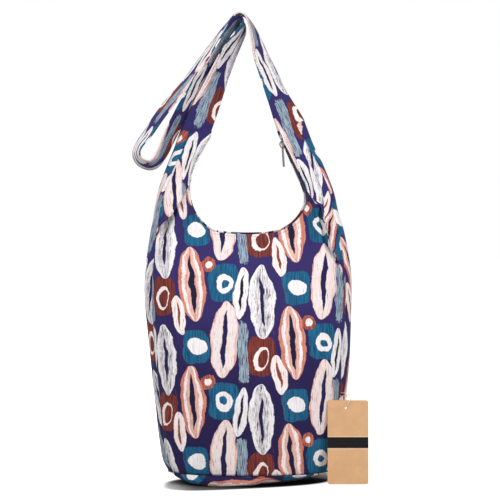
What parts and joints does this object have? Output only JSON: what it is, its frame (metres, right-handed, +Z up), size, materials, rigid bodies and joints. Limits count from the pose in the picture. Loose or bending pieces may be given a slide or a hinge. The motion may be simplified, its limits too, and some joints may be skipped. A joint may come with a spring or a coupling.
{
  "type": "crossbody bag",
  "caption": "Soft printed canvas crossbody bag with a zipped U mouth between two shoulder arms, a long folded strap hung doubled, and a kraft swing tag.",
  "frame": {"origin": "middle of the base's flat underside, on the floor", "axes": "+Z up, +X to the right as seen from the front, +Y from the front panel to the back panel"},
  "size_m": [0.2994, 0.1475, 0.5997],
  "materials": {
    "canvas_print": "printed cotton canvas",
    "strap_print": "printed cotton canvas, folded and stitched",
    "lining_cloth": "plain woven lining",
    "zip_tape": "woven zip tape",
    "zip_coil": "nylon coil",
    "zip_metal": "dull nickel",
    "kraft_card": "uncoated kraft card",
    "tag_thread": "twisted cotton"
  },
  "bodies": {
    "bag": {"back_panel": "canvas_print", "base_panel": "canvas_print", "front_panel": "canvas_print", "inner_pocket": "lining_cloth", "lining_back": "lining_cloth", "lining_base": "lining_cloth", "lining_front": "lining_cloth", "strap": "strap_print", "tag_card": "kraft_card", "tag_string": "tag_thread", "zip_bottom_stop": "zip_metal", "zip_coil_back": "zip_coil", "zip_coil_front": "zip_coil", "zip_tape_back": "zip_tape", "zip_tape_front": "zip_tape", "zip_top_stop": "zip_metal"},
    "slider": {"zip_slider": "zip_metal"},
    "pull": {"zip_pull": "zip_metal"}
  },
  "joints": [
    {"name": "zip_slide", "type": "slide", "parent": "bag", "child": "slider", "axis": [0.4143, 0.059, -0.9082], "range_m": [0, 0.044]},
    {"name": "pull_swing", "type": "hinge", "parent": "slider", "child": "pull", "pos_m": [0.04168, -0.00848, 0.42747], "axis": [-0.4214, 0.8969, -0.134], "range_deg": [-20, 100]}
  ]
}
